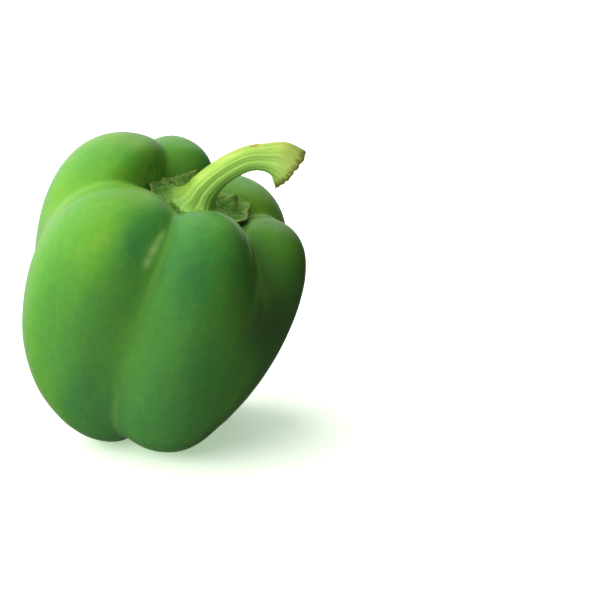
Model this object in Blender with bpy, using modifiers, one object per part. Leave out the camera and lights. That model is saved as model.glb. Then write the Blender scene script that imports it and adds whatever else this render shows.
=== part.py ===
"""A green bell pepper as picked, standing by itself on the ends of three of its lobes.

Its pieces are the lobed fruit, the toothed calyx that caps the fruit, and the cut stem on the calyx.
Metres, +Z up. The origin is on the surface that the pepper stands on, under the middle of its box, and
the front is towards -Y.

The pieces are shaped in the fruit's own frame, with its axis upright from the blossom end to the stem
and its middle at the origin. A bearing there is an angle about the axis, in degrees: 0 is to the right
and 90 to the back. An empty then leans the frame, because the lobes that the fruit stands on are of
unequal length.
"""

import math

import bmesh
import bpy
import numpy as np
from mathutils import Matrix, Vector

# The fruit's middle above the surface, and how far its axis leans, in degrees
fruit_middle = Vector((-0.0004, 0.0021, 0.0477))
lean_to_right = 14.5
lean_to_front = 9.0

# Each lobe is a pod: an upright body with rounded ends, set off from the axis. Three sizes are at its
# foot, belly and crown: the bearing, and how far its middle stands off the axis. Two are at its foot
# and crown: half its width round the fruit, its depth outwards, and its depth inwards.
lobes = {
    "left back": dict(
        foot=-0.0410, crown=0.0495, bearing=(158, 157, 156), reach=(0.0120, 0.0252, 0.0229),
        width=(0.0200, 0.0250), depth=(0.0200, 0.0235), inner=(0.0200, 0.0155),
    ),
    "left front": dict(
        foot=-0.0508, crown=0.0440, bearing=(212, 216, 220), reach=(0.0110, 0.0270, 0.0245),
        width=(0.0220, 0.0260), depth=(0.0220, 0.0245), inner=(0.0200, 0.0190),
    ),
    "middle front": dict(
        foot=-0.0445, crown=0.0440, bearing=(298, 284, 287), reach=(0.0180, 0.0220, 0.0215),
        width=(0.0220, 0.0220), depth=(0.0200, 0.0235), inner=(0.0200, 0.0155),
    ),
    "right": dict(
        foot=-0.0430, crown=0.0380, bearing=(346, 342, 350), reach=(0.0130, 0.0220, 0.0270),
        width=(0.0210, 0.0200), depth=(0.0180, 0.0200), inner=(0.0180, 0.0170),
    ),
    "right back": dict(
        foot=-0.0475, crown=0.0400, bearing=(38, 43, 48), reach=(0.0200, 0.0220, 0.0220),
        width=(0.0180, 0.0240), depth=(0.0180, 0.0240), inner=(0.0180, 0.0170),
    ),
    "middle back": dict(
        foot=-0.0440, crown=0.0470, bearing=(104, 105, 106), reach=(0.0120, 0.0220, 0.0220),
        width=(0.0190, 0.0180), depth=(0.0200, 0.0220), inner=(0.0200, 0.0150),
    ),
}
lobe_rounding = 2.6

# The core closes the middle between the lobes, and its ends are the floors of the two hollows
core_foot = -0.038
core_crown = 0.034
core_radius = (0.018, 0.033)
core_rounding = 3.0

# Radius by which neighbouring lobes run into each other: a soft valley at the side, creases at the ends
foot_blend = 0.0012
side_blend = 0.0034
crown_blend = 0.0020
blend_half_height = 0.046
blend_fade = 2.5

# Facets of the fruit, and the span in which its skin is looked for
fruit_segments = 64
fruit_rings = 44
farthest_skin = 0.080
nearest_skin = 0.005
coarse_steps = 60
fine_steps = 20

# The calyx is a thin tilted dish with eight teeth: the bearing of each, and its reach from the axis
calyx_teeth = (
    (88, 0.0132), (42, 0.0150), (-2, 0.0185), (-38, 0.0150),
    (-84, 0.0125), (232, 0.0135), (186, 0.0150), (148, 0.0118),
)
calyx_reach = 0.0110
tooth_half_angle = 24
tooth_point = 1.3
calyx_height = 0.0352
dish_span = 0.016
dish_rise = 0.0035
dish_tilt = 0.0030
tilt_bearing = 150
calyx_thickness = 0.0012
calyx_clearance = 0.0008
calyx_spokes = 72
calyx_rings = 8
merge_distance = 0.0001

# The calyx is level where the stem's foot meets it
seat_middle = Vector((0.0012, 0.0, 0.0360))
seat_reach = 0.0086
seat_fade = 0.0030

# The stem's middle line from its foot to the cut, with half its height and half its width at each point
stem_line = (
    (Vector((0.0012, 0.0000, 0.0375)), 0.0082, 0.0080),
    (Vector((0.0024, 0.0001, 0.0412)), 0.0054, 0.0053),
    (Vector((0.0044, 0.0005, 0.0452)), 0.0045, 0.0045),
    (Vector((0.0070, 0.0009, 0.0490)), 0.0041, 0.0041),
    (Vector((0.0106, 0.0012, 0.0529)), 0.0040, 0.0039),
    (Vector((0.0150, 0.0014, 0.0562)), 0.0041, 0.0038),
    (Vector((0.0200, 0.0015, 0.0577)), 0.0046, 0.0041),
    (Vector((0.0246, 0.0014, 0.0573)), 0.0055, 0.0046),
    (Vector((0.0290, 0.0012, 0.0560)), 0.0069, 0.0056),
)
stem_foot_rings = 3
stem_ribs = 5
stem_rib_share = 0.05
stem_sides = 30
stem_rings = 30
cut_rim_share = 0.26
cut_hollow = 0.0008

# Colours are linear red, green and blue. The waxy skin is the smoothest and the leafy calyx the roughest.
skin_green = (0.065, 0.200, 0.035)
skin_roughness = 0.28
calyx_green = (0.120, 0.230, 0.050)
calyx_roughness = 0.62
stem_green = (0.300, 0.480, 0.080)
stem_roughness = 0.45


def clear_scene():
    for old in list(bpy.data.objects):
        bpy.data.objects.remove(old, do_unlink=True)


def plain_material(name, colour, roughness):
    material = bpy.data.materials.new(name)
    material.use_nodes = True
    shader = material.node_tree.nodes["Principled BSDF"]
    shader.inputs["Base Color"].default_value = (*colour, 1.0)
    shader.inputs["Roughness"].default_value = roughness
    shader.inputs["Metallic"].default_value = 0.0
    return material


def add_frame(collection):
    """The empty that leans the fruit's own frame and lifts it off the surface."""
    frame = bpy.data.objects.new("fruit_frame", None)
    frame.location = fruit_middle
    lean = Matrix.Rotation(math.radians(lean_to_front), 3, "X")
    lean = lean @ Matrix.Rotation(math.radians(lean_to_right), 3, "Y")
    frame.rotation_euler = lean.to_euler()
    collection.objects.link(frame)
    bpy.context.view_layer.update()
    return frame


def add_piece(name, shape, frame, material):
    mesh = bpy.data.meshes.new(name)
    shape.to_mesh(mesh)
    shape.free()
    mesh.shade_smooth()
    mesh.materials.append(material)
    piece = bpy.data.objects.new(name, mesh)
    piece.parent = frame
    frame.users_collection[0].objects.link(piece)
    return piece


def through(three, rise):
    """A size that takes three given values at rise 0, 1/2 and 1, along a parabola."""
    foot, belly, crown = three
    return foot * (1 - rise) * (1 - 2 * rise) + belly * 4 * rise * (1 - rise) + crown * rise * (2 * rise - 1)


def between(two, rise):
    return two[0] + (two[1] - two[0]) * rise


def fullness(rise, rounding):
    """How wide a body with rounded ends is at each rise, as a share of its full width."""
    return (1 - np.abs(2 * rise - 1) ** rounding) ** (1 / rounding)


def lobe_distance(points, lobe):
    """Roughly how far each point lies outside the lobe. It is below 0 inside."""
    x, y, z = points.T
    rise = np.clip((z - lobe["foot"]) / (lobe["crown"] - lobe["foot"]), 0, 1)
    bearing = np.radians(through(lobe["bearing"], rise))
    outwards = x * np.cos(bearing) + y * np.sin(bearing) - through(lobe["reach"], rise)
    sideways = y * np.cos(bearing) - x * np.sin(bearing)
    width = between(lobe["width"], rise)
    outer = between(lobe["depth"], rise)
    depth = np.where(outwards < 0, between(lobe["inner"], rise), outer)
    section = np.hypot(outwards / depth, sideways / width) - fullness(rise, lobe_rounding)
    return np.maximum(section * np.minimum(outer, width), np.maximum(lobe["foot"] - z, z - lobe["crown"]))


def core_distance(points):
    x, y, z = points.T
    rise = np.clip((z - core_foot) / (core_crown - core_foot), 0, 1)
    side = np.hypot(x, y) - between(core_radius, rise) * fullness(rise, core_rounding)
    return np.maximum(side, np.maximum(core_foot - z, z - core_crown))


def skin_distance(points):
    """The lobes and the core as one body: a soft minimum of their distances."""
    height = points[:, 2]
    end_blend = np.where(height < 0, foot_blend, crown_blend)
    side_share = 1 - np.clip(np.abs(height) / blend_half_height, 0, 1) ** blend_fade
    blend = end_blend + (side_blend - end_blend) * side_share
    parts = np.stack([lobe_distance(points, lobe) for lobe in lobes.values()] + [core_distance(points)])
    nearest = parts.min(axis=0)
    return nearest - blend * np.log(np.exp((nearest - parts) / blend).sum(axis=0))


def skin_reach(directions):
    """How far the skin lies from the fruit's middle along each unit direction, found from outside inwards."""
    outer = np.full(len(directions), farthest_skin)
    inner = np.full(len(directions), nearest_skin)
    found = np.zeros(len(directions), bool)
    steps = np.linspace(farthest_skin, nearest_skin, coarse_steps + 1)
    for further, nearer in zip(steps, steps[1:]):
        hit = (skin_distance(directions * nearer) < 0) & ~found
        outer[hit] = further
        inner[hit] = nearer
        found |= hit
    for _ in range(fine_steps):
        middle = (outer + inner) / 2
        inside = skin_distance(directions * middle[:, None]) < 0
        inner = np.where(inside, middle, inner)
        outer = np.where(inside, outer, middle)
    return (outer + inner) / 2


def make_fruit(frame):
    """A sphere pushed out to the skin, with a small flat spot under each of the three lobes it stands on."""
    shape = bmesh.new()
    bmesh.ops.create_uvsphere(shape, u_segments=fruit_segments, v_segments=fruit_rings, radius=1.0)
    directions = np.array([vert.co.normalized() for vert in shape.verts])
    standing = frame.matrix_world
    for vert, direction, reach in zip(shape.verts, directions, skin_reach(directions)):
        place = standing @ Vector(direction * reach)
        place.z = max(place.z, 0.0)
        vert.co = standing.inverted() @ place
    return add_piece("fruit", shape, frame, plain_material("fruit_skin", skin_green, skin_roughness))


def calyx_outline(bearing):
    """The calyx's reach on a bearing: a round rim with pointed teeth of unequal length."""
    reach = calyx_reach
    for tooth_bearing, length in calyx_teeth:
        off = abs((bearing - tooth_bearing + 180) % 360 - 180) / tooth_half_angle
        reach = max(reach, calyx_reach + (length - calyx_reach) * max(0.0, 1 - off) ** tooth_point)
    return reach


def calyx_place(bearing, share):
    """A point of the calyx's underside, as it would lie on a plain tilted dish."""
    reach = calyx_outline(bearing) * share
    angle = math.radians(bearing)
    place = Vector((reach * math.cos(angle), reach * math.sin(angle), calyx_height))
    tilt = math.cos(angle - math.radians(tilt_bearing))
    place.z += dish_rise * (reach / dish_span) ** 2 + dish_tilt * reach / dish_span * tilt
    off_seat = (place.xy - seat_middle.xy).length
    level = min(max((off_seat - seat_reach) / seat_fade, 0.0), 1.0)
    place.z = seat_middle.z + (place.z - seat_middle.z) * level
    return place


def make_calyx(frame):
    """A disc with a toothed rim, held off the skin where the fruit's shoulders rise into it."""
    shape = bmesh.new()
    line = [shape.verts.new((ring / calyx_rings, 0, 0)) for ring in range(calyx_rings + 1)]
    for inner, outer in zip(line, line[1:]):
        shape.edges.new((inner, outer))
    turn = dict(cent=(0, 0, 0), axis=(0, 0, 1), angle=math.tau, steps=calyx_spokes, use_merge=True)
    bmesh.ops.spin(shape, geom=shape.verts[:] + shape.edges[:], **turn)
    bmesh.ops.remove_doubles(shape, verts=shape.verts, dist=merge_distance)
    for vert in shape.verts:
        vert.co = calyx_place(math.degrees(math.atan2(vert.co.y, vert.co.x)), vert.co.xy.length)
    directions = np.array([vert.co.normalized() for vert in shape.verts])
    for vert, reach in zip(shape.verts, skin_reach(directions) + calyx_clearance):
        vert.co *= max(1.0, reach / vert.co.length)
    bmesh.ops.recalc_face_normals(shape, faces=shape.faces)
    if sum(face.normal.z for face in shape.faces) < 0:
        bmesh.ops.reverse_faces(shape, faces=shape.faces)
    piece = add_piece("calyx", shape, frame, plain_material("calyx_leaf", calyx_green, calyx_roughness))
    wall = piece.modifiers.new("thickness", "SOLIDIFY")
    wall.thickness = calyx_thickness
    wall.offset = 1.0
    return piece


def along_stem(share):
    """The stem's middle, half height and half width at a share of its length, smooth through its points."""
    spans = len(stem_line) - 1
    span = min(int(share * spans), spans - 1)
    part = share * spans - span
    before, start, end, after = (stem_line[min(max(span + step, 0), spans)] for step in (-1, 0, 1, 2))

    def smooth(index):
        left = (end[index] - before[index]) / 2
        right = (after[index] - start[index]) / 2
        bend = start[index] * 2 - end[index] * 2 + left + right
        ease = end[index] * 3 - start[index] * 3 - left * 2 - right
        return start[index] + left * part + ease * part**2 + bend * part**3

    return smooth(0), smooth(1), smooth(2)


def stem_heading(share):
    """The way that the stem points. It leaves its foot straight up."""
    step = 1 / stem_rings
    ahead = along_stem(min(share + step, 1.0))[0] - along_stem(max(share - step, 0.0))[0]
    upright = max(0.0, 1 - share * stem_rings / stem_foot_rings)
    return ahead.normalized().lerp(Vector((0, 0, 1)), upright).normalized()


def make_stem(frame):
    """A ribbed rod, cut into rings and bent along its line, with a flared foot and a flared, hollowed cut."""
    shape = bmesh.new()
    rod = bmesh.ops.create_cone(shape, cap_ends=True, segments=stem_sides, radius1=1, radius2=1, depth=1)
    bmesh.ops.translate(shape, verts=rod["verts"], vec=(0, 0, 0.5))
    for ring in range(1, stem_rings):
        everything = shape.verts[:] + shape.edges[:] + shape.faces[:]
        bmesh.ops.bisect_plane(shape, geom=everything, plane_co=(0, 0, ring / stem_rings), plane_no=(0, 0, 1))
    cut = max(shape.faces, key=lambda face: face.calc_center_median().z)
    bmesh.ops.inset_individual(shape, faces=[cut], thickness=cut_rim_share)
    hollow = set(cut.verts)
    for vert in shape.verts:
        share = min(max(vert.co.z, 0.0), 1.0)
        middle, half_height, half_width = along_stem(share)
        heading = stem_heading(share)
        across = Vector((0, 1, 0)) - heading * heading.y
        across.normalize()
        upwards = heading.cross(across)
        angle = math.atan2(vert.co.y, vert.co.x)
        size = vert.co.xy.length * (1 + stem_rib_share * math.cos(stem_ribs * angle))
        sideways = across * math.cos(angle) * half_width
        place = middle + (upwards * math.sin(angle) * half_height + sideways) * size
        vert.co = place - heading * cut_hollow if vert in hollow else place
    return add_piece("stem", shape, frame, plain_material("stem_skin", stem_green, stem_roughness))


def main():
    clear_scene()
    pepper = bpy.data.collections.new("bell_pepper")
    bpy.context.scene.collection.children.link(pepper)
    frame = add_frame(pepper)
    make_fruit(frame)
    make_calyx(frame)
    make_stem(frame)


main()
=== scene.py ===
import math

import bmesh
import bpy
import numpy as np
from mathutils import Matrix, Vector, noise


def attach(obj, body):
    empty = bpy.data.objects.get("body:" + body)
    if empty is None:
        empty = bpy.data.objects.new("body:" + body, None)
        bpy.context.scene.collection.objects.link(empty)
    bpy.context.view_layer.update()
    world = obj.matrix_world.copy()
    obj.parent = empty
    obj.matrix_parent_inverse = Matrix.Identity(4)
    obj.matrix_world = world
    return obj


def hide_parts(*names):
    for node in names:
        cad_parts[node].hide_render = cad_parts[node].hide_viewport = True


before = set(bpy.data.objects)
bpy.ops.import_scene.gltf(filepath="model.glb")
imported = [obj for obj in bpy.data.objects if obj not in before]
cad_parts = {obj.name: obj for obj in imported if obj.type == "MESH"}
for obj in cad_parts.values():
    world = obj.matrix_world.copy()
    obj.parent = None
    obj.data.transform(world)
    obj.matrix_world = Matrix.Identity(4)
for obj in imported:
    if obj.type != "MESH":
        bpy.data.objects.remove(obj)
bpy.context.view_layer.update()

# A green bell pepper that stands on three of its lobes. Lengths are in metres, bearings and leans in degrees
# and turns in radians. The pieces are shaped in the fruit's own frame, upright with its middle at the
# origin, and then stood up.

stand = {
    "middle": Vector((-0.0004, 0.0021, 0.0477)),
    "leanRight": 14.5,
    "leanFront": 9.0,
}

lean = Matrix.Rotation(math.radians(stand["leanFront"]), 4, "X")
lean = lean @ Matrix.Rotation(math.radians(stand["leanRight"]), 4, "Y")
standing = Matrix.Translation(stand["middle"]) @ lean


def linearColour(hexText):
    # sRGB hex to the linear values that the shaders work in
    parts = [int(hexText[at:at + 2], 16) / 255 for at in (1, 3, 5)]
    linear = [part / 12.92 if part <= 0.04045 else ((part + 0.055) / 1.055) ** 2.4 for part in parts]
    return (*linear, 1.0)


def addNode(tree, kind, inputs=None, links=None, stops=None, **settings):
    node = tree.nodes.new("ShaderNode" + kind)
    for name, value in settings.items():
        setattr(node, name, value)
    for key, value in (inputs or {}).items():
        node.inputs[key].default_value = value
    for key, socket in (links or {}).items():
        tree.links.new(socket, node.inputs[key])
    if stops:  # a ramp's colours and where they stand
        ramp = node.color_ramp
        while len(ramp.elements) < len(stops):
            ramp.elements.new(0.5)
        for element, (place, hexText) in zip(ramp.elements, stops):
            element.position = place
            element.color = linearColour(hexText)
    return node


def newMaterial(name, inputs):
    # a material whose shader has these even values
    material = bpy.data.materials.new(name)
    material.use_nodes = True
    tree = material.node_tree
    shader = tree.nodes["Principled BSDF"]
    for key, value in inputs.items():
        shader.inputs[key].default_value = value
    return material, tree, shader


# from here to here in what comes in, from this to this in what goes out
rangeInputs = ("From Min", "From Max", "To Min", "To Max")


def layOver(tree, below, place, start, end, strength, hexText):
    # lays a colour over another, from none of it where place is at start to this much of it at end
    share = addNode(
        tree, "MapRange", links={"Value": place},
        inputs=dict(zip(rangeInputs, (start, end, 0.0, strength)))).outputs["Result"]
    over = addNode(
        tree, "Mix", data_type="RGBA", links={0: share, 6: below}, inputs={7: linearColour(hexText)})
    return over.outputs[2], share


def softStep(low, high, value):
    share = np.clip((value - low) / (high - low), 0, 1)
    return share * share * (3 - 2 * share)


def wander(points, size, seed):
    # smooth noise from -1 to 1 at each point, with bumps about this size
    offset = Vector((seed * 7.1, seed * 3.3, seed * 5.7))
    return np.array([noise.noise(Vector(point) / size + offset) for point in points])


def addPiece(name, shape, nodeName, material):
    mesh = bpy.data.meshes.new(name)
    shape.to_mesh(mesh)
    shape.free()
    mesh.shade_smooth()
    mesh.materials.append(material)
    piece = bpy.data.objects.new(name, mesh)
    bpy.context.scene.collection.objects.link(piece)
    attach(piece, "root")
    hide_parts(nodeName)
    return piece


def storeOnPoints(mesh, name, values):
    # one number or one vector for each vertex, for the material to read
    kind = "FLOAT" if values.ndim == 1 else "FLOAT_VECTOR"
    attribute = mesh.attributes.new(name, kind, "POINT")
    attribute.data.foreach_set("value" if values.ndim == 1 else "vector", values.astype(np.float32).ravel())


# The fruit

fruit = {
    # three sizes are at a lobe's foot, belly and crown, and two at its foot and crown
    "lobes": {
        "leftBack": dict(
            foot=-0.0410, crown=0.0495, bearing=(158, 157, 156), reach=(0.0120, 0.0252, 0.0229),
            width=(0.0200, 0.0250), depth=(0.0200, 0.0235), inner=(0.0200, 0.0155)),
        "leftFront": dict(
            foot=-0.0508, crown=0.0440, bearing=(212, 216, 226), reach=(0.0110, 0.0270, 0.0245),
            width=(0.0220, 0.0260), depth=(0.0220, 0.0245), inner=(0.0200, 0.0220)),
        "middleFront": dict(
            foot=-0.0445, crown=0.0440, bearing=(298, 284, 287), reach=(0.0180, 0.0220, 0.0215),
            width=(0.0220, 0.0205), depth=(0.0200, 0.0235), inner=(0.0200, 0.0155)),
        "right": dict(
            foot=-0.0430, crown=0.0380, bearing=(346, 342, 350), reach=(0.0130, 0.0220, 0.0270),
            width=(0.0210, 0.0200), depth=(0.0180, 0.0200), inner=(0.0180, 0.0170)),
        # fills the valley between the middle front and the right lobe below their crowns
        "rightFront": dict(
            foot=-0.0400, crown=0.0330, bearing=(322, 316, 316), reach=(0.0120, 0.0200, 0.0190),
            width=(0.0160, 0.0170), depth=(0.0180, 0.0200), inner=(0.0180, 0.0180)),
        "rightBack": dict(
            foot=-0.0475, crown=0.0400, bearing=(38, 43, 48), reach=(0.0200, 0.0220, 0.0220),
            width=(0.0180, 0.0240), depth=(0.0180, 0.0240), inner=(0.0180, 0.0170)),
        "middleBack": dict(
            foot=-0.0440, crown=0.0470, bearing=(104, 105, 106), reach=(0.0120, 0.0220, 0.0220),
            width=(0.0190, 0.0180), depth=(0.0200, 0.0220), inner=(0.0200, 0.0150)),
    },
    "lobeRounding": 2.6,
    "core": dict(foot=-0.038, crown=0.034, radius=(0.018, 0.033), rounding=3.0),
    "blend": dict(foot=0.0012, side=0.0034, crown=0.0011, halfHeight=0.046, fade=1.5),
    "segments": 340,
    "rings": 270,
    "search": (0.066, 0.020),  # the skin is looked for from this far out to this near
    "searchSteps": (30, 16),  # in so many coarse steps and then halvings
    "swell": (0.024, 0.00030),  # size and height of the broad unevenness
    "dimple": (0.0055, 0.00005),  # and of the small dimples
    "flute": (0.0032, 0.045, 0.00004),  # faint lengthwise ridges: across, along, height
    "rib": (0.0012, 0.00014),  # thin rib in the lobes' valleys: width and height
    "ribEnds": (0.010, 0.028),  # it starts and is full at these heights from the middle
    "scarRadius": 0.0022,  # where the blossom sat
    "scarHeight": 0.0007,
    "scarFolds": (9, 0.6, 0.25),  # puckers round it: count, turn, share of its height
    "hollow": (0.024, 0.008, 0.020),  # the two ends: from this far off the axis, full here, past this height
    # soft colour patches: bearing, height, spread and strength
    "patches": {
        # a deeper (below 0) or a yellower green: partly the rind's own tone, partly painted light and shade
        "patch": [
            (226, 0.0380, 0.0110, 0.35),
            (236, 0.0330, 0.0070, 0.35),
            (196, 0.0160, 0.0240, 0.40),
            (262, -0.0040, 0.0260, -0.16),
            (254, 0.0040, 0.0110, 0.35),
            (244, 0.0395, 0.0060, -0.58),
            (248, 0.0330, 0.0050, -0.30),
            (254, 0.0380, 0.0040, 0.25),
            (253, 0.0300, 0.0050, 0.30),
            (270, 0.0440, 0.0040, 0.20),
            (286, 0.0450, 0.0045, 0.30),
            (277, 0.0385, 0.0090, -0.50),
            (272, 0.0300, 0.0070, -0.35),
            (284, -0.0180, 0.0180, -0.20),
            (299, 0.0180, 0.0100, 0.40),
            (318, -0.0210, 0.0120, 0.35),
            (242, -0.0300, 0.0120, -0.35),
            (212, -0.0320, 0.0120, 0.40),
            (184, 0.0340, 0.0140, 0.40),
            (178, 0.0445, 0.0060, -0.30),
            (157, 0.0440, 0.0080, 0.50),
            (130, 0.0080, 0.0160, -0.40),
            (75, 0.0200, 0.0150, 0.45),
            (60, -0.0180, 0.0180, -0.45),
            (24, 0.0360, 0.0100, 0.65),
            (20, 0.0040, 0.0160, 0.35),
            (344, 0.0370, 0.0100, 0.45),
            (110, -0.0260, 0.0170, 0.45),
        ],
        # painted shade: a duller, deeper green over the right lobes
        "paintedShade": [
            (318, 0.0330, 0.0080, 0.30),
            (342, 0.0290, 0.0120, 0.35),
            (312, 0.0160, 0.0080, 0.60),
            (325, 0.0120, 0.0095, 0.70),
        ],
        # painted highlights: thin pale places where the wax catches the light along a lobe's edge
        "pale": [
            (254.5, 0.0378, 0.0009, 0.60),
            (254.0, 0.0346, 0.0011, 0.80),
            (253.5, 0.0310, 0.0010, 0.60),
            (306, 0.0425, 0.0013, 0.55),
            (312, 0.0405, 0.0012, 0.55),
            (316, 0.0380, 0.0011, 0.40),
        ],
    },
    "patchStretch": 1.7,  # they are this much longer than wide
    "patchEnds": (0.006, 0.020),  # and fade in between these distances from the fruit's axis
    "patchTone": (0.36, 0.47),  # how far they shift the tone, and the tone without them
    # the rind's patterns: size in millimetres, detail, roughness and share in the tone
    "patterns": {
        "blotch": (11.0, 3.0, 0.50, 0.28),  # clouds, drawn out along the fruit
        "streak": (1.6, 2.0, 0.55, 0.14),  # lengthwise streaks
        "mottle": (2.5, 2.0, 0.60, 0.22),
        "grain": (0.45, 2.0, 0.60, 0.10),  # the rind's cells
    },
    "drawnOut": 0.25,  # blotches and streaks are this share as fine along as across
    "greens": [(0.08, "#2a6a35"), (0.36, "#43863a"), (0.62, "#599a2d"), (0.94, "#7fa920")],
    # colours laid over the green where these reach 1: how much of each, and the colour
    "layers": {
        # painted shade over the right lobes
        "paintedShade": (1.0, "#41662d"),
        # painted highlight: a paler line along the valleys where two lobes meet
        "valley": (0.22, "#7eae4c"),
        # a duller green round both ends: partly the rind's own colour, partly painted shade in the hollows
        "hollow": (0.6, "#567f36"),
        # painted highlights along the lobes' edges
        "pale": (1.0, "#a2cf78"),
    },
    # pale specks: one in a cell of this many millimetres, gone and full this far off the cell's middle,
    # strength and colour
    "specks": (6.0, 0.045, 0.020, 0.55, "#a9c07a"),
    "roughness": (0.3, 0.7, 0.42, 0.50),  # from here to here in the blotches, from this to this rough
    "grainBump": (0.25, 0.00004),  # strength and height
    "dents": (4.0, 0.5, 0.00022),  # size in millimetres, strength and height
}


def through(three, rise):
    foot, belly, crown = three
    return foot * (1 - rise) * (1 - 2 * rise) + belly * 4 * rise * (1 - rise) + crown * rise * (2 * rise - 1)


def between(two, rise):
    return two[0] + (two[1] - two[0]) * rise


def fullness(rise, rounding):
    return (1 - np.abs(2 * rise - 1) ** rounding) ** (1 / rounding)


def lobeDistance(points, lobe):
    x, y, z = points.T
    rise = np.clip((z - lobe["foot"]) / (lobe["crown"] - lobe["foot"]), 0, 1)
    bearing = np.radians(through(lobe["bearing"], rise))
    outwards = x * np.cos(bearing) + y * np.sin(bearing) - through(lobe["reach"], rise)
    sideways = y * np.cos(bearing) - x * np.sin(bearing)
    width = between(lobe["width"], rise)
    outer = between(lobe["depth"], rise)
    depth = np.where(outwards < 0, between(lobe["inner"], rise), outer)
    section = np.hypot(outwards / depth, sideways / width) - fullness(rise, fruit["lobeRounding"])
    return np.maximum(section * np.minimum(outer, width), np.maximum(lobe["foot"] - z, z - lobe["crown"]))


def coreDistance(points):
    core = fruit["core"]
    x, y, z = points.T
    rise = np.clip((z - core["foot"]) / (core["crown"] - core["foot"]), 0, 1)
    side = np.hypot(x, y) - between(core["radius"], rise) * fullness(rise, core["rounding"])
    return np.maximum(side, np.maximum(core["foot"] - z, z - core["crown"]))


def partDistances(points):
    lobes = [lobeDistance(points, lobe) for lobe in fruit["lobes"].values()]
    return np.stack(lobes + [coreDistance(points)])


def skinDistance(points):
    # the lobes and the core as one body, with a soft valley between them
    blend = fruit["blend"]
    height = points[:, 2]
    endBlend = np.where(height < 0, blend["foot"], blend["crown"])
    sideShare = 1 - np.clip(np.abs(height) / blend["halfHeight"], 0, 1) ** blend["fade"]
    radius = endBlend + (blend["side"] - endBlend) * sideShare
    parts = partDistances(points)
    nearest = parts.min(axis=0)
    return nearest - radius * np.log(np.exp((nearest - parts) / radius).sum(axis=0))


def valleyShare(points):
    # 1 along the line where two lobes meet, fading out to 0 over the rib's width
    two = np.sort(partDistances(points)[:-1], axis=0)[:2]
    low, full = fruit["ribEnds"]
    atEnds = softStep(low, full, np.abs(points[:, 2]))
    return np.exp(-((two[1] - two[0]) / fruit["rib"][0]) ** 2) * atEnds


def skinMeeting(outside, inside):
    # the share of the way from outside to inside at which the skin is first met
    coarseSteps, fineSteps = fruit["searchSteps"]
    before = np.zeros(len(outside))
    behind = np.ones(len(outside))
    found = np.zeros(len(outside), bool)
    for step in range(1, coarseSteps + 1):
        rest = np.flatnonzero(~found)
        places = outside[rest] + (inside[rest] - outside[rest]) * (step / coarseSteps)
        hit = rest[skinDistance(places) < 0]
        before[hit] = (step - 1) / coarseSteps
        behind[hit] = step / coarseSteps
        found[hit] = True
    for _ in range(fineSteps):
        middle = (before + behind) / 2
        isInside = skinDistance(outside + (inside - outside) * middle[:, None]) < 0
        behind = np.where(isInside, middle, behind)
        before = np.where(isInside, before, middle)
    return (before + behind) / 2


def skinReach(directions):
    # how far the skin lies from the fruit's middle along each unit direction
    far, near = fruit["search"]
    return far + (near - far) * skinMeeting(directions * far, directions * near)


def crownHeight(places):
    # how high the skin lies over places given by x and y
    far, near = fruit["search"]
    share = skinMeeting(np.insert(places, 2, far, axis=1), np.insert(places, 2, near, axis=1))
    height = far + (near - far) * share
    return height + skinRelief(np.column_stack((places, height)))


def skinRelief(points):
    # what the plain lobes leave out: broad unevenness, small dimples, faint lengthwise ridges
    swellSize, swellHeight = fruit["swell"]
    dimpleSize, dimpleHeight = fruit["dimple"]
    fluteAcross, fluteAlong, fluteHeight = fruit["flute"]
    relief = wander(points, swellSize, 1) * swellHeight
    relief += wander(points, dimpleSize, 2) * dimpleHeight
    stretched = points * np.array((1, 1, fluteAcross / fluteAlong))
    relief += wander(stretched, fluteAcross, 3) * fluteHeight
    return relief


def blossomScar(points):
    # a small button under the fruit with a puckered ring round it
    radius = fruit["scarRadius"]
    count, turn, share = fruit["scarFolds"]
    off = np.hypot(points[:, 0], points[:, 1])
    angle = np.arctan2(points[:, 1], points[:, 0])
    button = np.exp(-(off / radius) ** 4)
    pucker = np.exp(-((off - 2 * radius) / radius) ** 2) * np.cos(count * angle + turn)
    return np.where(points[:, 2] < 0, (button + pucker * share) * fruit["scarHeight"], 0)


def patchStrength(points, patches):
    # adds up the soft patches: each fades out over its spread, and is drawn out along the fruit
    total = np.zeros(len(points))
    off = np.hypot(points[:, 0], points[:, 1])
    atEnds = softStep(*fruit["patchEnds"], off)
    for bearing, height, spread, strength in patches:
        angle = math.radians(bearing)
        ahead = points[:, 0] * math.cos(angle) + points[:, 1] * math.sin(angle)
        across = points[:, 1] * math.cos(angle) - points[:, 0] * math.sin(angle)
        along = (points[:, 2] - height) / fruit["patchStretch"]
        total += strength * np.exp(-(across**2 + along**2) / spread**2) * (ahead > 0) * atEnds
    return np.clip(total, -1, 1)


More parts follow.
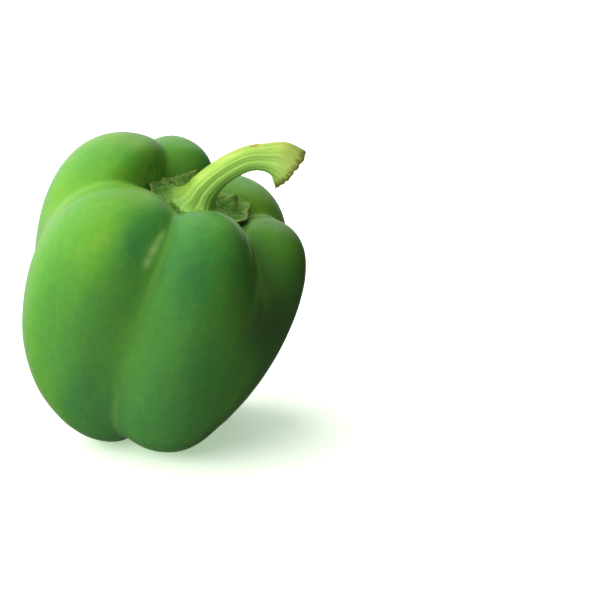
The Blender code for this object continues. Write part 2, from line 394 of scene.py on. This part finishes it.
def waxedPepperSkin():
    # Fresh green pepper rind: a thin clear wax over green flesh. It looks deep and a little soft, satin
    # rather than wet, with pale edges where it turns away, and its green drifts from yellowish to bluish
    # in soft patches. Light and shade are painted into that green as well: shade on the right lobes and in
    # the end hollows, highlights along the valleys and some lobe edges, and both in the soft patches.
    material, tree, shader = newMaterial("waxedPepperSkin", {
        "IOR": 1.45,
        "Specular IOR Level": 0.3,
        "Coat Weight": 0.4,
        "Coat Roughness": 0.16,
        "Sheen Weight": 0.3,
        "Sheen Roughness": 0.2,
        "Sheen Tint": linearColour("#e6ffd8"),
        "Subsurface Weight": 0.15,
        "Subsurface Radius": (0.5, 1.0, 0.25),
        "Subsurface Scale": 0.0018,
    })
    objectPlace = addNode(tree, "TexCoord").outputs["Object"]
    # in millimetres, in the fruit's own upright frame
    upright = addNode(
        tree, "Mapping", vector_type="TEXTURE", links={"Vector": objectPlace},
        inputs={"Location": stand["middle"], "Rotation": lean.to_euler(), "Scale": (0.001, 0.001, 0.001)}
    ).outputs["Vector"]
    drawnOut = addNode(
        tree, "Mapping", links={"Vector": upright},
        inputs={"Scale": (1, 1, fruit["drawnOut"])}).outputs["Vector"]
    places = {"blotch": drawnOut, "streak": drawnOut, "mottle": upright, "grain": upright}

    # where the skin stands between deep green (0) and yellow green (1)
    patch = addNode(tree, "Attribute", attribute_name="patch").outputs["Fac"]
    shift, even = fruit["patchTone"]
    tone = addNode(
        tree, "Math", operation="MULTIPLY_ADD", links={0: patch}, inputs={1: shift, 2: even}).outputs[0]
    textures = {}
    for name, (size, detail, roughness, share) in fruit["patterns"].items():
        textures[name] = addNode(
            tree, "TexNoise", links={"Vector": places[name]},
            inputs={"Scale": 1 / size, "Detail": detail, "Roughness": roughness}).outputs["Fac"]
        level = addNode(
            tree, "Math", operation="MULTIPLY_ADD", links={0: textures[name]},
            inputs={1: share, 2: -share / 2}).outputs[0]
        tone = addNode(tree, "Math", operation="ADD", links={0: tone, 1: level}).outputs[0]
    colour = addNode(tree, "ValToRGB", links={"Fac": tone}, stops=fruit["greens"]).outputs["Color"]
    for name, (strength, hexText) in fruit["layers"].items():
        reach = addNode(tree, "Attribute", attribute_name=name).outputs["Fac"]
        colour, _ = layOver(tree, colour, reach, 0.0, 1.0, strength, hexText)
    # a few pale specks a third of a millimetre across, where a cell of a coarse foam starts on the skin
    cell, *speck = fruit["specks"]
    foam = addNode(tree, "TexVoronoi", links={"Vector": upright}, inputs={"Scale": 1 / cell})
    colour, _ = layOver(tree, colour, foam.outputs["Distance"], *speck)
    tree.links.new(colour, shader.inputs["Base Color"])

    roughness = addNode(
        tree, "MapRange", links={"Value": textures["blotch"]},
        inputs=dict(zip(rangeInputs, fruit["roughness"])))
    tree.links.new(roughness.outputs["Result"], shader.inputs["Roughness"])
    # the rind's cells under faint dents of a few millimetres
    strength, height = fruit["grainBump"]
    grainBump = addNode(
        tree, "Bump", links={"Height": textures["grain"]}, inputs={"Strength": strength, "Distance": height})
    size, strength, height = fruit["dents"]
    dents = addNode(
        tree, "TexNoise", links={"Vector": upright},
        inputs={"Scale": 1 / size, "Detail": 1.0, "Roughness": 0.4}).outputs["Fac"]
    dentBump = addNode(
        tree, "Bump", links={"Height": dents, "Normal": grainBump.outputs["Normal"]},
        inputs={"Strength": strength, "Distance": height})
    tree.links.new(dentBump.outputs["Normal"], shader.inputs["Normal"])
    return material


def makeFruit():
    shape = bmesh.new()
    bmesh.ops.create_uvsphere(shape, u_segments=fruit["segments"], v_segments=fruit["rings"], radius=1.0)
    directions = np.array([vert.co.normalized() for vert in shape.verts])
    places = directions * skinReach(directions)[:, None]
    valley = valleyShare(places)
    relief = skinRelief(places) + blossomScar(places) + valley * fruit["rib"][1]
    places += directions * relief[:, None]
    off = np.hypot(places[:, 0], places[:, 1])
    start, full, height = fruit["hollow"]
    hollow = softStep(start, full, off) * (np.abs(places[:, 2]) > height)
    for vert, place in zip(shape.verts, places):
        vert.co = standing @ Vector(place)
        vert.co.z = max(vert.co.z, 0.0)  # pressed flat where it rests
    piece = addPiece("pepperFruit", shape, "fruit", waxedPepperSkin())
    storeOnPoints(piece.data, "valley", valley)
    storeOnPoints(piece.data, "hollow", hollow)
    for name, patches in fruit["patches"].items():
        storeOnPoints(piece.data, name, patchStrength(places, patches))
    print("fruit:", len(piece.data.vertices), "points")
    return piece


# The calyx

calyx = {
    # round the leaf: bearing, reach from the fruit's axis, and how far the rim curls off the fruit there
    "outline": [
        (0, 0.0187, 0.0005), (14, 0.0199, 0.0008), (21, 0.0177, 0.0008), (29, 0.0157, 0.0010),
        (42, 0.0140, 0.0006), (60, 0.0122, 0.0002), (76, 0.0124, 0.0002), (89, 0.0144, 0.0003),
        (101, 0.0127, 0.0002), (113, 0.0124, 0.0001),
        (125, 0.0127, 0.0001), (138, 0.0128, 0.0001), (150, 0.0124, 0.0001), (162, 0.0126, 0.0002),
        (172, 0.0134, 0.0003), (179, 0.0144, 0.0004), (186, 0.0138, 0.0002), (205, 0.0138, 0.0001),
        (225, 0.0142, 0.0001), (240, 0.0122, 0.0001), (258, 0.0128, 0.0002), (278, 0.0112, 0.0001),
        (300, 0.0130, 0.0002), (318, 0.0142, 0.0003), (332, 0.0166, 0.0004), (345, 0.0193, 0.0005),
    ],
    "height": 0.0352,
    "dishSpan": 0.016,
    "dishRise": 0.0030,
    "dishTilt": 0.0020,
    "tiltBearing": 150,
    "clearance": 0.00015,
    "drape": 0.0003,  # how softly it bends where it meets the lobes
    "thickness": 0.0007,
    "rimThickness": 0.35,  # share of it that is left at the rim
    "stemFoot": Vector((0.0012, 0.0)),
    "coneTop": 0.0050,  # the leaf runs up the stem's foot from this far off its middle
    "coneReach": 0.0085,
    "coneRise": 0.0018,
    "spokes": 260,
    "rings": 40,
    # nicks in the rim: how many a radian, how much finer the small ones are, how near the rim they stay and
    # how deep they are
    "edgeWobble": (9.0, 2.7, 6, 0.0004),
    "curlStart": 0.6,  # the rim curls from this share of the way to it
    "thinStart": 0.75,  # and thins out from this one
    "ribs": (5, 0.9, 8, 0.00035),  # raised midribs that run on from the stem: count, turn, sharpness, height
    # radial folds, and folds across them: height, how many round and outwards in the coarse and the fine
    # ones, how much the fine ones add, and how far all are raised
    "wrinkle": (0.00060, (4.5, 0.0), (11.0, 1.5), 0.7, 0.3),
    "ripple": (0.00042, (2.5, 8.0), (7.0, 19.0), 0.5, 0.0),
    "fold": (25, 0.0150, 0.0018, 0.0009, 0.0035),  # upright crease: bearing, reach, height, two half widths
    # patterns: size, detail, roughness and share in the tone
    "patterns": {
        "veins": (0.625, 5.0, 0.65, 0.70),  # a share of the leaf, not a length
        "mottle": (0.0030, 4.0, 0.60, 0.65),
        "tissue": (0.0005, 3.0, 0.60, 0.20),
    },
    "veinStretch": (7.0, 7.0, 1.6),  # the veins are this much finer, round the leaf and outwards
    "tone": -0.20,  # where the patterns' shares start
    "greens": [(0.28, "#2a5a27"), (0.44, "#43722f"), (0.60, "#628c3b"), (0.80, "#8fae5a")],
    # colours laid over it: from none at this share of the way to the rim to this much at that one
    "layers": [
        (0.90, 1.00, 0.60, "#93ab5c"),  # paler towards the rim
        (0.99, 1.00, 0.30, "#857f49"),  # the dry rim itself
        (0.80, 0.45, 0.75, "#7bb044"),  # fresh green by the stem
    ],
    "bumps": {"veins": (0.8, 0.0005), "tissue": (0.5, 0.00015)},  # strength and height
}


def calyxRim(bearing):
    # how far the leaf reaches on this bearing, and how far its rim curls up there
    bearings, reaches, curls = zip(*calyx["outline"])
    return np.interp(bearing, bearings, reaches, period=360), np.interp(bearing, bearings, curls, period=360)


def calyxRise(place, share):
    # the leaf's own height before it is laid on the fruit, at an x and y and a share of the way to the rim
    angle = math.atan2(place.y, place.x)
    rim = Vector((math.cos(angle), math.sin(angle), 0))
    spread = place.length / calyx["dishSpan"]
    tilt = math.cos(angle - math.radians(calyx["tiltBearing"]))
    rise = calyx["height"] + calyx["dishRise"] * spread**2 + calyx["dishTilt"] * spread * tilt
    away = (place - calyx["stemFoot"]).length - calyx["coneTop"]
    away = min(max(away / calyx["coneReach"], 0.0), 1.0)
    rise += calyx["coneRise"] * (1 - away) ** 2
    # folds and ribs grow from the stem outwards, and the shift keeps the two kinds of fold apart
    lift = 0
    for name, shift in (("wrinkle", 0), ("ripple", 3)):
        height, (roundCoarse, outCoarse), (roundFine, outFine), fineShare, even = calyx[name]
        coarse = noise.noise(rim * roundCoarse + Vector((0, 0, share * outCoarse)))
        fine = noise.noise(rim * roundFine + Vector((shift, 0, share * outFine)))
        lift += height * (coarse + fineShare * fine + even)
    ribCount, ribTurn, ribSharpness, ribHeight = calyx["ribs"]
    rib = max(0.0, math.cos(ribCount * angle + ribTurn)) ** ribSharpness
    lift += ribHeight * rib * (1 - share)
    rise += lift * min(1.0, away * 3)
    foldBearing, foldReach, foldHeight, foldThickness, foldWidth = calyx["fold"]
    foldAngle = math.radians(foldBearing)
    crease = place - foldReach * Vector((math.cos(foldAngle), math.sin(foldAngle)))
    return rise + foldHeight * math.exp(-((crease.x / foldThickness) ** 2) - (crease.y / foldWidth) ** 2)


def toughCalyxLeaf():
    # The calyx is a tough leaf, not waxed like the fruit: matte and wrinkled, a dull olive green with paler
    # veins that run out to the teeth, a thin dry rim, and fresher green where it runs up the stem.
    material, tree, shader = newMaterial("toughCalyxLeaf", {
        "Roughness": 0.6,
        "IOR": 1.4,
        "Specular IOR Level": 0.25,
        "Subsurface Weight": 0.2,
        "Subsurface Radius": (0.5, 1.0, 0.3),
        "Subsurface Scale": 0.0006,
    })
    # bearing as a circle in x and y, share of the way to the rim as height
    spread = addNode(tree, "Attribute", attribute_name="spread").outputs["Vector"]
    veinPlace = addNode(
        tree, "Mapping", links={"Vector": spread}, inputs={"Scale": calyx["veinStretch"]}).outputs["Vector"]
    objectPlace = addNode(tree, "TexCoord").outputs["Object"]
    places = {"veins": veinPlace, "mottle": objectPlace, "tissue": objectPlace}
    textures = {}
    tone = None
    for name, (size, detail, roughness, share) in calyx["patterns"].items():
        textures[name] = addNode(
            tree, "TexNoise", links={"Vector": places[name]},
            inputs={"Scale": 1 / size, "Detail": detail, "Roughness": roughness}).outputs["Fac"]
        links = {0: textures[name], 2: tone} if tone else {0: textures[name]}
        tone = addNode(
            tree, "Math", operation="MULTIPLY_ADD", links=links,
            inputs={1: share, 2: calyx["tone"]}).outputs[0]
    colour = addNode(tree, "ValToRGB", links={"Fac": tone}, stops=calyx["greens"]).outputs["Color"]
    toRim = addNode(tree, "SeparateXYZ", links={"Vector": spread}).outputs["Z"]
    for layer in calyx["layers"]:
        colour, _ = layOver(tree, colour, toRim, *layer)
    tree.links.new(colour, shader.inputs["Base Color"])
    links = {}
    for name, (strength, height) in calyx["bumps"].items():
        bump = addNode(
            tree, "Bump", links={"Height": textures[name], **links},
            inputs={"Strength": strength, "Distance": height})
        links = {"Normal": bump.outputs["Normal"]}
    tree.links.new(bump.outputs["Normal"], shader.inputs["Normal"])
    return material


def makeCalyx():
    shape = bmesh.new()
    line = [shape.verts.new((ring / calyx["rings"], 0, 0)) for ring in range(calyx["rings"] + 1)]
    for inner, outer in zip(line, line[1:]):
        shape.edges.new((inner, outer))
    bmesh.ops.spin(
        shape, geom=shape.verts[:] + shape.edges[:], cent=(0, 0, 0), axis=(0, 0, 1), angle=math.tau,
        steps=calyx["spokes"], use_merge=True)
    bmesh.ops.remove_doubles(shape, verts=shape.verts, dist=1e-4)
    bmesh.ops.recalc_face_normals(shape, faces=shape.faces)
    if sum(face.normal.z for face in shape.faces) < 0:
        bmesh.ops.reverse_faces(shape, faces=shape.faces)
    spread = np.array([
        (*(vert.co.xy.normalized() if vert.co.xy.length > 0 else Vector((1, 0))), vert.co.xy.length)
        for vert in shape.verts])
    places, rises, curls = [], [], []
    count, finer, nearRim, depth = calyx["edgeWobble"]
    for x, y, share in spread:
        rim = Vector((x, y, 0))
        nick = noise.noise(rim * count) + 0.5 * noise.noise(rim * count * finer + Vector((5, 0, 0)))
        reach, curl = calyxRim(math.degrees(math.atan2(y, x)))
        place = Vector((x, y)) * ((reach + depth * nick * share**nearRim) * share)
        places.append(place)
        rises.append(calyxRise(place, share))
        curls.append(curl * max(0.0, (share - calyx["curlStart"]) / (1 - calyx["curlStart"])) ** 2)
    # it lies on the fruit wherever the fruit stands higher
    under = crownHeight(np.array(places)) + calyx["clearance"]
    lift = np.logaddexp((np.array(rises) - under) / calyx["drape"], 0) * calyx["drape"]
    for vert, place, height, curl in zip(shape.verts, places, under + lift, curls):
        vert.co = standing @ Vector((place.x, place.y, height + curl))
    piece = addPiece("pepperCalyx", shape, "calyx", toughCalyxLeaf())
    storeOnPoints(piece.data, "spread", spread)
    rim = piece.vertex_groups.new(name="thick")
    for index, share in enumerate(spread[:, 2]):
        rim.add([index], 1 - float(softStep(calyx["thinStart"], 1.0, share)), "REPLACE")
    wall = piece.modifiers.new("thickness", "SOLIDIFY")
    wall.thickness = calyx["thickness"]
    wall.offset = 1.0
    wall.vertex_group = rim.name
    wall.thickness_vertex_group = calyx["rimThickness"]
    print("calyx:", len(piece.data.vertices), "points")
    return piece


# The stem

stem = {
    # middle line from the foot to the cut, with half the height and half the width there
    "line": [
        (Vector((0.0010, 0.0000, 0.0368)), 0.0074, 0.0072),
        (Vector((0.0022, 0.0001, 0.0406)), 0.0055, 0.0054),
        (Vector((0.0044, 0.0005, 0.0452)), 0.0045, 0.0045),
        (Vector((0.0070, 0.0009, 0.0490)), 0.0041, 0.0041),
        (Vector((0.0106, 0.0012, 0.0529)), 0.0040, 0.0039),
        (Vector((0.0150, 0.0014, 0.0562)), 0.0041, 0.0038),
        (Vector((0.0200, 0.0015, 0.0577)), 0.0046, 0.0041),
        (Vector((0.0247, 0.0014, 0.0579)), 0.0063, 0.0050),
        (Vector((0.0290, 0.0012, 0.0562)), 0.0070, 0.0058),
    ],
    "flareShare": 0.17,  # the foot widens over this share of its length and runs out on the leaf
    "flareWidth": 0.0040,
    "flareSink": 0.0003,  # how deep its edge sits in the leaf
    "flareEase": 1.3,
    "flareOnLeaf": 0.4,  # it follows the leaf's folds at this share of the way to its rim
    "flareLobes": (5, 0.9, 0.16),  # the ribs spread apart there: count, turn, share
    "sides": 120,
    "rings": 170,
    "capRings": 12,
    "lengthSteps": 50,  # its length is summed in so many pieces
    "uprightShare": 0.10,
    "ribs": [(5, 0.048, 0.4), (11, 0.020, 1.3), (23, 0.012, 2.1), (41, 0.007, 0.7)],  # count, share, turn
    "ribTwist": 1.2,  # how far they turn from end to end
    "cutStart": 0.86,  # from here on the rim of the cut shows
    "cutHollow": 0.0009,
    "cutRough": (0.00025, 7, 19),  # torn fibres: height, and how many across, coarse and fine
    "cutTip": (0.0012, 6),  # the lower edge of the cut runs out to a point: reach and sharpness
    "rimWobble": (0.0006, 2.3, 6.0),  # height, and how many a radian, out and along
    "rindRing": 0.93,  # the cut face is rind outside this share of its radius
    "scar": (1.35, 0.42, 0.665, 0.035),  # on its back: turn and spread round, place and spread along
    # patterns: size in millimetres, detail and roughness
    "patterns": {
        "fibres": (0.55, 4.0, 0.6),
        "broad": (5.0, 2.0, 0.5),
        "pith": (0.7, 4.0, 0.7),
    },
    "drawnOut": 0.06,  # the fibres are this share as fine along as across
    # painted light and shade as well as the top's own yellower green: lighter on top, darker below
    "topSpan": (-3.8, 1.2),  # yellower from this height in its section to this one
    "tone": (-0.28, 0.44, 0.90, 0.40),  # its start, and the shares of top, fibres and broad pattern
    "greens": [(0.28, "#3c8b33"), (0.50, "#5da53a"), (0.74, "#8cae3c"), (0.98, "#b2c252")],
    "pithGreens": [(0.3, "#6f6a38"), (0.5, "#969a55"), (0.7, "#b3b87a")],
    "footMottle": 4.0,  # the foot's edge wanders by this many millimetres
    "litSide": (-0.8, -0.6, 0),
    "brownRun": (33.5, 39.2, -0.55, 0.75),  # brown runs back from the cut in streaks between these places
    "scarMottle": 0.6,
    # colours laid over the green: from none at this value to this much at that one
    "layers": {
        "foot": (11.0, 4.0, 0.9, "#64963b"),  # it takes on the leaf's green where its foot runs out
        "side": (-2.5, 3.0, 0.78, "#a8de66"),  # paler down the side that the light falls on
        "end": (28.0, 37.0, 0.55, "#bcc868"),
        "brown": (0.62, 1.0, 0.9, "#665c24"),
        "scar": (0.72, 1.05, 0.8, "#a07a2e"),
    },
    "roughness": (0.0, 0.8, 0.38, 0.75),  # from here to here in the brown, from this to this rough
    "fibreBump": (0.6, 0.00025),  # strength and height
}


def alongStem(share):
    line = stem["line"]
    spans = len(line) - 1
    span = min(int(share * spans), spans - 1)
    part = share * spans - span
    before, start, end, after = (line[min(max(span + step, 0), spans)] for step in (-1, 0, 1, 2))

    def smooth(index):
        left = (end[index] - before[index]) / 2
        right = (after[index] - start[index]) / 2
        bend = start[index] * 2 - end[index] * 2 + left + right
        ease = end[index] * 3 - start[index] * 3 - left * 2 - right
        return start[index] + left * part + ease * part**2 + bend * part**3

    return smooth(0), smooth(1), smooth(2)


def stemHeading(share):
    step = 0.03
    ahead = alongStem(min(share + step, 1.0))[0] - alongStem(max(share - step, 0.0))[0]
    upright = max(0.0, 1 - share / stem["uprightShare"])
    return ahead.normalized().lerp(Vector((0, 0, 1)), upright).normalized()


def stemPlace(x, y, share):
    # a point of a straight unit rod, bent along the stem
    middle, halfHeight, halfWidth = alongStem(share)
    heading = stemHeading(share)
    across = (Vector((0, 1, 0)) - heading * heading.y).normalized()
    upwards = heading.cross(across)
    angle = math.atan2(y, x)
    off = math.hypot(x, y)
    size = 1.0
    for count, height, turn in stem["ribs"]:
        size += height * math.cos(count * angle + turn + stem["ribTwist"] * share) * min(1, off * 2)
    nearCut = max(0.0, (share - stem["cutStart"]) / (1 - stem["cutStart"])) ** 2
    rim = Vector((math.cos(angle), math.sin(angle), 0))
    wobble, wobbleOut, wobbleAlong = stem["rimWobble"]
    tip, tipSharpness = stem["cutTip"]
    reachOut = wobble * noise.noise(rim * wobbleOut) * nearCut
    reachOut += tip * max(0.0, -math.sin(angle)) ** tipSharpness * nearCut
    flare = max(0.0, 1 - share / stem["flareShare"])
    lobes, lobeTurn, lobeShare = stem["flareLobes"]
    lobe = 1 + lobeShare * math.cos(lobes * angle + lobeTurn)
    reachOut += stem["flareWidth"] * flare ** stem["flareEase"] * lobe
    offset = upwards * (math.sin(angle) * (halfHeight * size + reachOut))
    offset += across * (math.cos(angle) * (halfWidth * size + reachOut))
    place = middle + offset * off
    if flare > 0:  # it lies down on the leaf, and only its edge sinks in
        leafTop = calyxRise(place.xy, stem["flareOnLeaf"]) + calyx["thickness"]
        place.z += (leafTop - place.z) * (1 - (1 - flare) ** 2)
        place.z -= stem["flareSink"] * flare**4
    if off < 0.999 and share > 0.5:  # the cut face: a shallow hollow with torn fibres
        rough, coarse, fine = stem["cutRough"]
        torn = noise.noise(Vector((x * coarse, y * coarse, 0)))
        torn += 0.5 * noise.noise(Vector((x * fine, y * fine, 3)))
        place -= heading * (stem["cutHollow"] * (1 - off**3) + rough * torn * (1 - off))
    else:
        place += heading * (wobble * noise.noise(rim * wobbleAlong + Vector((0, 0, 4))) * nearCut)
    return place


def fibrousGreenStalk():
    # A cut pepper stalk: smooth tough rind over lengthwise fibres. Yellow green on top, deeper below and at
    # the foot, satin along its ridges, dry and brown at the cut edge, with a corky scar on its back.
    # Light and shade are painted into its green too: lighter on top, darker below, paler down the lit side.
    material, tree, shader = newMaterial("fibrousGreenStalk", {
        "IOR": 1.45,
        "Subsurface Weight": 0.1,
        "Subsurface Radius": (0.6, 1.0, 0.3),
        "Subsurface Scale": 0.0015,
    })
    # the place on the unbent stem, in millimetres
    straight = addNode(tree, "Attribute", attribute_name="straight").outputs["Vector"]
    drawnOut = addNode(
        tree, "Mapping", links={"Vector": straight},
        inputs={"Scale": (1, 1, stem["drawnOut"])}).outputs["Vector"]
    places = {"fibres": drawnOut, "broad": straight, "pith": straight}
    fibres, broad, pith = (
        addNode(
            tree, "TexNoise", links={"Vector": places[name]},
            inputs={"Scale": 1 / size, "Detail": detail, "Roughness": roughness}).outputs["Fac"]
        for name, (size, detail, roughness) in stem["patterns"].items())
    parts = addNode(tree, "SeparateXYZ", links={"Vector": straight})
    along = parts.outputs["Z"]
    top = addNode(
        tree, "MapRange", links={"Value": parts.outputs["Y"]},
        inputs=dict(zip(rangeInputs, (*stem["topSpan"], 0.0, 1.0)))).outputs["Result"]
    start, *shares = stem["tone"]
    tone = None
    for texture, share in zip((top, fibres, broad), shares):
        links = {0: texture, 2: tone} if tone else {0: texture}
        tone = addNode(
            tree, "Math", operation="MULTIPLY_ADD", links=links, inputs={1: share, 2: start}).outputs[0]
    colour = addNode(tree, "ValToRGB", links={"Fac": tone}, stops=stem["greens"]).outputs["Color"]

    footPlace = addNode(
        tree, "Math", operation="MULTIPLY_ADD", links={0: broad, 2: along}, inputs={1: stem["footMottle"]})
    sidePlace = addNode(
        tree, "VectorMath", operation="DOT_PRODUCT", links={0: straight}, inputs={1: stem["litSide"]})
    brownRun = addNode(
        tree, "MapRange", links={"Value": along}, inputs=dict(zip(rangeInputs, stem["brownRun"])))
    brownPlace = addNode(tree, "Math", operation="ADD", links={0: brownRun.outputs["Result"], 1: fibres})
    scar = addNode(tree, "Attribute", attribute_name="scar").outputs["Fac"]
    scarPlace = addNode(
        tree, "Math", operation="MULTIPLY_ADD", links={0: fibres, 2: scar}, inputs={1: stem["scarMottle"]})
    reaches = {
        "foot": footPlace.outputs[0],
        "side": sidePlace.outputs["Value"],
        "end": along,
        "brown": brownPlace.outputs[0],
        "scar": scarPlace.outputs[0],
    }
    laid = {}
    for name, layer in stem["layers"].items():
        colour, laid[name] = layOver(tree, colour, reaches[name], *layer)
    cutFace = addNode(tree, "Attribute", attribute_name="cutFace").outputs["Fac"]
    pithColour = addNode(tree, "ValToRGB", links={"Fac": pith}, stops=stem["pithGreens"]).outputs["Color"]
    colour = addNode(tree, "Mix", data_type="RGBA", links={0: cutFace, 6: colour, 7: pithColour}).outputs[2]
    tree.links.new(colour, shader.inputs["Base Color"])
    roughness = addNode(
        tree, "MapRange", links={"Value": laid["brown"]}, inputs=dict(zip(rangeInputs, stem["roughness"])))
    tree.links.new(roughness.outputs["Result"], shader.inputs["Roughness"])
    strength, height = stem["fibreBump"]
    fibreBump = addNode(
        tree, "Bump", links={"Height": fibres}, inputs={"Strength": strength, "Distance": height})
    tree.links.new(fibreBump.outputs["Normal"], shader.inputs["Normal"])
    return material


def makeStem():
    shape = bmesh.new()
    bmesh.ops.create_cone(shape, cap_ends=True, segments=stem["sides"], radius1=1, radius2=1, depth=1)
    bmesh.ops.translate(shape, verts=shape.verts, vec=(0, 0, 0.5))
    lengthwise = [edge for edge in shape.edges if abs(edge.verts[0].co.z - edge.verts[1].co.z) > 0.5]
    bmesh.ops.subdivide_edges(shape, edges=lengthwise, cuts=stem["rings"] - 1, use_grid_fill=True)
    for end in (0.0, 1.0):
        cap = [face for face in shape.faces if all(abs(vert.co.z - end) < 1e-5 for vert in face.verts)]
        for ring in range(stem["capRings"] - 1):
            bmesh.ops.inset_individual(shape, faces=cap, thickness=1 / stem["capRings"])
        bmesh.ops.poke(shape, faces=cap)
    rod = [tuple(vert.co) for vert in shape.verts]
    steps = stem["lengthSteps"]
    middles = [alongStem(step / steps)[0] for step in range(steps + 1)]
    length = sum((after - before).length for before, after in zip(middles, middles[1:]))
    scarTurn, scarRound, scarShare, scarAlong = stem["scar"]
    straight, scar, cutFace = [], [], []
    for vert, (x, y, share) in zip(shape.verts, rod):
        share = min(max(share, 0.0), 1.0)
        vert.co = standing @ stemPlace(x, y, share)
        halfHeight, halfWidth = alongStem(share)[1:]
        straight.append((x * halfWidth * 1000, y * halfHeight * 1000, share * length * 1000))
        angle = math.atan2(y, x)
        sideways = (angle - scarTurn) / scarRound
        lengthways = (share - scarShare) / scarAlong
        scar.append(math.exp(-sideways**2 - lengthways**2))
        cutFace.append(float(share > 0.999 and math.hypot(x, y) < stem["rindRing"]))
    bmesh.ops.recalc_face_normals(shape, faces=shape.faces)
    if shape.calc_volume(signed=True) < 0:
        bmesh.ops.reverse_faces(shape, faces=shape.faces)
    piece = addPiece("pepperStem", shape, "stem", fibrousGreenStalk())
    storeOnPoints(piece.data, "straight", np.array(straight))
    storeOnPoints(piece.data, "scar", np.array(scar))
    storeOnPoints(piece.data, "cutFace", np.array(cutFace))
    print("stem:", len(piece.data.vertices), "points,", round(length * 1000, 1), "mm long")
    return piece


# The stage: floor, lights and camera

stage = {
    "floorSize": 12.0,
    "floorMottle": 0.020,
    "floorColours": [(0.3, "#f2f5f0"), (0.7, "#f5f7f3")],
    # the glow is painted light; its faint green stands for the light that the fruit throws on the floor
    "glowColour": "#e8ffe4",
    "floorGlow": 0.42,  # painted light: the floor glows this much to lift its shadow
    "keyDirection": Vector((-0.66, -0.18, 0.72)),
    "keyAngle": 90.0,  # how wide the soft light spreads
    "keyStrength": 3.6,
    "keyColour": "#fffff4",
    "fillDirection": Vector((-0.98, 0.20, 0.0)),
    "fillRange": (-0.74, 1.0, 0.02, 1.52),  # from here to here along it, from this to this bright
    "underLight": (0.0, -0.8, 0.0, 0.46),  # the same for what the table throws back, going down
    "glossDirection": Vector((-0.36, 0.80, 0.48)),
    "gloss": (0.45, 0.90, 0.02, 0.88),  # the same for what the wax mirrors
    "cameraElevation": 19.0,
    "cameraDistance": 0.8,
    "pixel": 0.00033,  # real size of a pixel at the fruit's middle
    "pictureSize": 600,
    "fruitMiddlePixel": (165.0, 300.0),  # where the fruit's middle lands in the picture
    "sensor": 36.0,
}


def paleStudioFloor():
    # matte white sheet, with the faint mottle of its coating, and a faint glow that is painted light
    material, tree, shader = newMaterial("paleStudioFloor", {
        "Roughness": 0.9,
        "Specular IOR Level": 0.1,
        "Emission Color": linearColour(stage["glowColour"]),
        "Emission Strength": stage["floorGlow"],
    })
    place = addNode(tree, "TexCoord").outputs["Object"]
    mottle = addNode(
        tree, "TexNoise", links={"Vector": place}, inputs={"Scale": 1 / stage["floorMottle"], "Detail": 2.0})
    colour = addNode(tree, "ValToRGB", links={"Fac": mottle.outputs["Fac"]}, stops=stage["floorColours"])
    tree.links.new(colour.outputs["Color"], shader.inputs["Base Color"])
    return material


def makeFloor():
    shape = bmesh.new()
    bmesh.ops.create_grid(shape, x_segments=1, y_segments=1, size=stage["floorSize"] / 2)
    mesh = bpy.data.meshes.new("studioFloor")
    shape.to_mesh(mesh)
    shape.free()
    mesh.materials.append(paleStudioFloor())
    floor = bpy.data.objects.new("studioFloor", mesh)
    bpy.context.scene.collection.objects.link(floor)
    floor.visible_diffuse = False  # the fill below the table stands for the light that it throws back
    floor.visible_glossy = False


def lightTheStage():
    # The fill is brightest from behind on the left and dim from the right. The wax mirrors a dark room with
    # a white backdrop behind the fruit, and the camera sees plain white past the floor.
    world = bpy.data.worlds.new("studioWorld")
    world.use_nodes = True
    tree = world.node_tree
    direction = addNode(tree, "TexCoord").outputs["Generated"]
    along, behind = (
        addNode(tree, "VectorMath", operation="DOT_PRODUCT", links={0: direction}, inputs={1: stage[name]})
        for name in ("fillDirection", "glossDirection"))
    depth = addNode(tree, "SeparateXYZ", links={"Vector": direction})
    spans = (
        (along.outputs["Value"], stage["fillRange"]),
        (depth.outputs["Z"], stage["underLight"]),
        (behind.outputs["Value"], stage["gloss"]))
    fill, under, gloss = (
        addNode(
            tree, "MapRange", links={"Value": place}, inputs=dict(zip(rangeInputs, span))).outputs["Result"]
        for place, span in spans)
    matte = addNode(tree, "Math", operation="ADD", links={0: fill, 1: under})
    rays = addNode(tree, "LightPath")
    strength = addNode(tree, "Mix", links={0: rays.outputs["Is Glossy Ray"], 2: matte.outputs[0], 3: gloss})
    strength = addNode(
        tree, "Mix", links={0: rays.outputs["Is Camera Ray"], 2: strength.outputs[0]}, inputs={3: 1.0})
    background = tree.nodes["Background"]
    background.inputs["Color"].default_value = (1, 1, 1, 1)
    tree.links.new(strength.outputs[0], background.inputs["Strength"])
    bpy.context.scene.world = world
    key = bpy.data.lights.new("keyLight", "SUN")
    key.color = linearColour(stage["keyColour"])[:3]
    key.energy = stage["keyStrength"]
    key.angle = math.radians(stage["keyAngle"])
    lamp = bpy.data.objects.new("keyLight", key)
    lamp.rotation_euler = stage["keyDirection"].to_track_quat("Z", "Y").to_euler()
    lamp.visible_glossy = False  # so large and near a light leaves no hot spot on the wax
    bpy.context.scene.collection.objects.link(lamp)
    bpy.context.scene.view_settings.view_transform = "Standard"


def placeCamera():
    lens = bpy.data.cameras.new("camera")
    lens.sensor_width = stage["sensor"]
    pictureWidth = stage["pixel"] * stage["pictureSize"]
    lens.lens = stage["sensor"] * stage["cameraDistance"] / pictureWidth
    camera = bpy.data.objects.new("camera", lens)
    elevation = math.radians(stage["cameraElevation"])
    pixelX, pixelY = stage["fruitMiddlePixel"]
    half = stage["pictureSize"] / 2
    up = Vector((0, math.sin(elevation), math.cos(elevation)))
    aim = stand["middle"] + Vector((1, 0, 0)) * (half - pixelX) * stage["pixel"]
    aim += up * (pixelY - half) * stage["pixel"]
    camera.location = aim + Vector((0, -math.cos(elevation), math.sin(elevation))) * stage["cameraDistance"]
    camera.rotation_euler = (math.radians(90) - elevation, 0, 0)
    bpy.context.scene.collection.objects.link(camera)
    bpy.context.scene.camera = camera


placeCamera()
makeFruit()
makeCalyx()
makeStem()
makeFloor()
lightTheStage()
print("stage: floor, lights and camera")
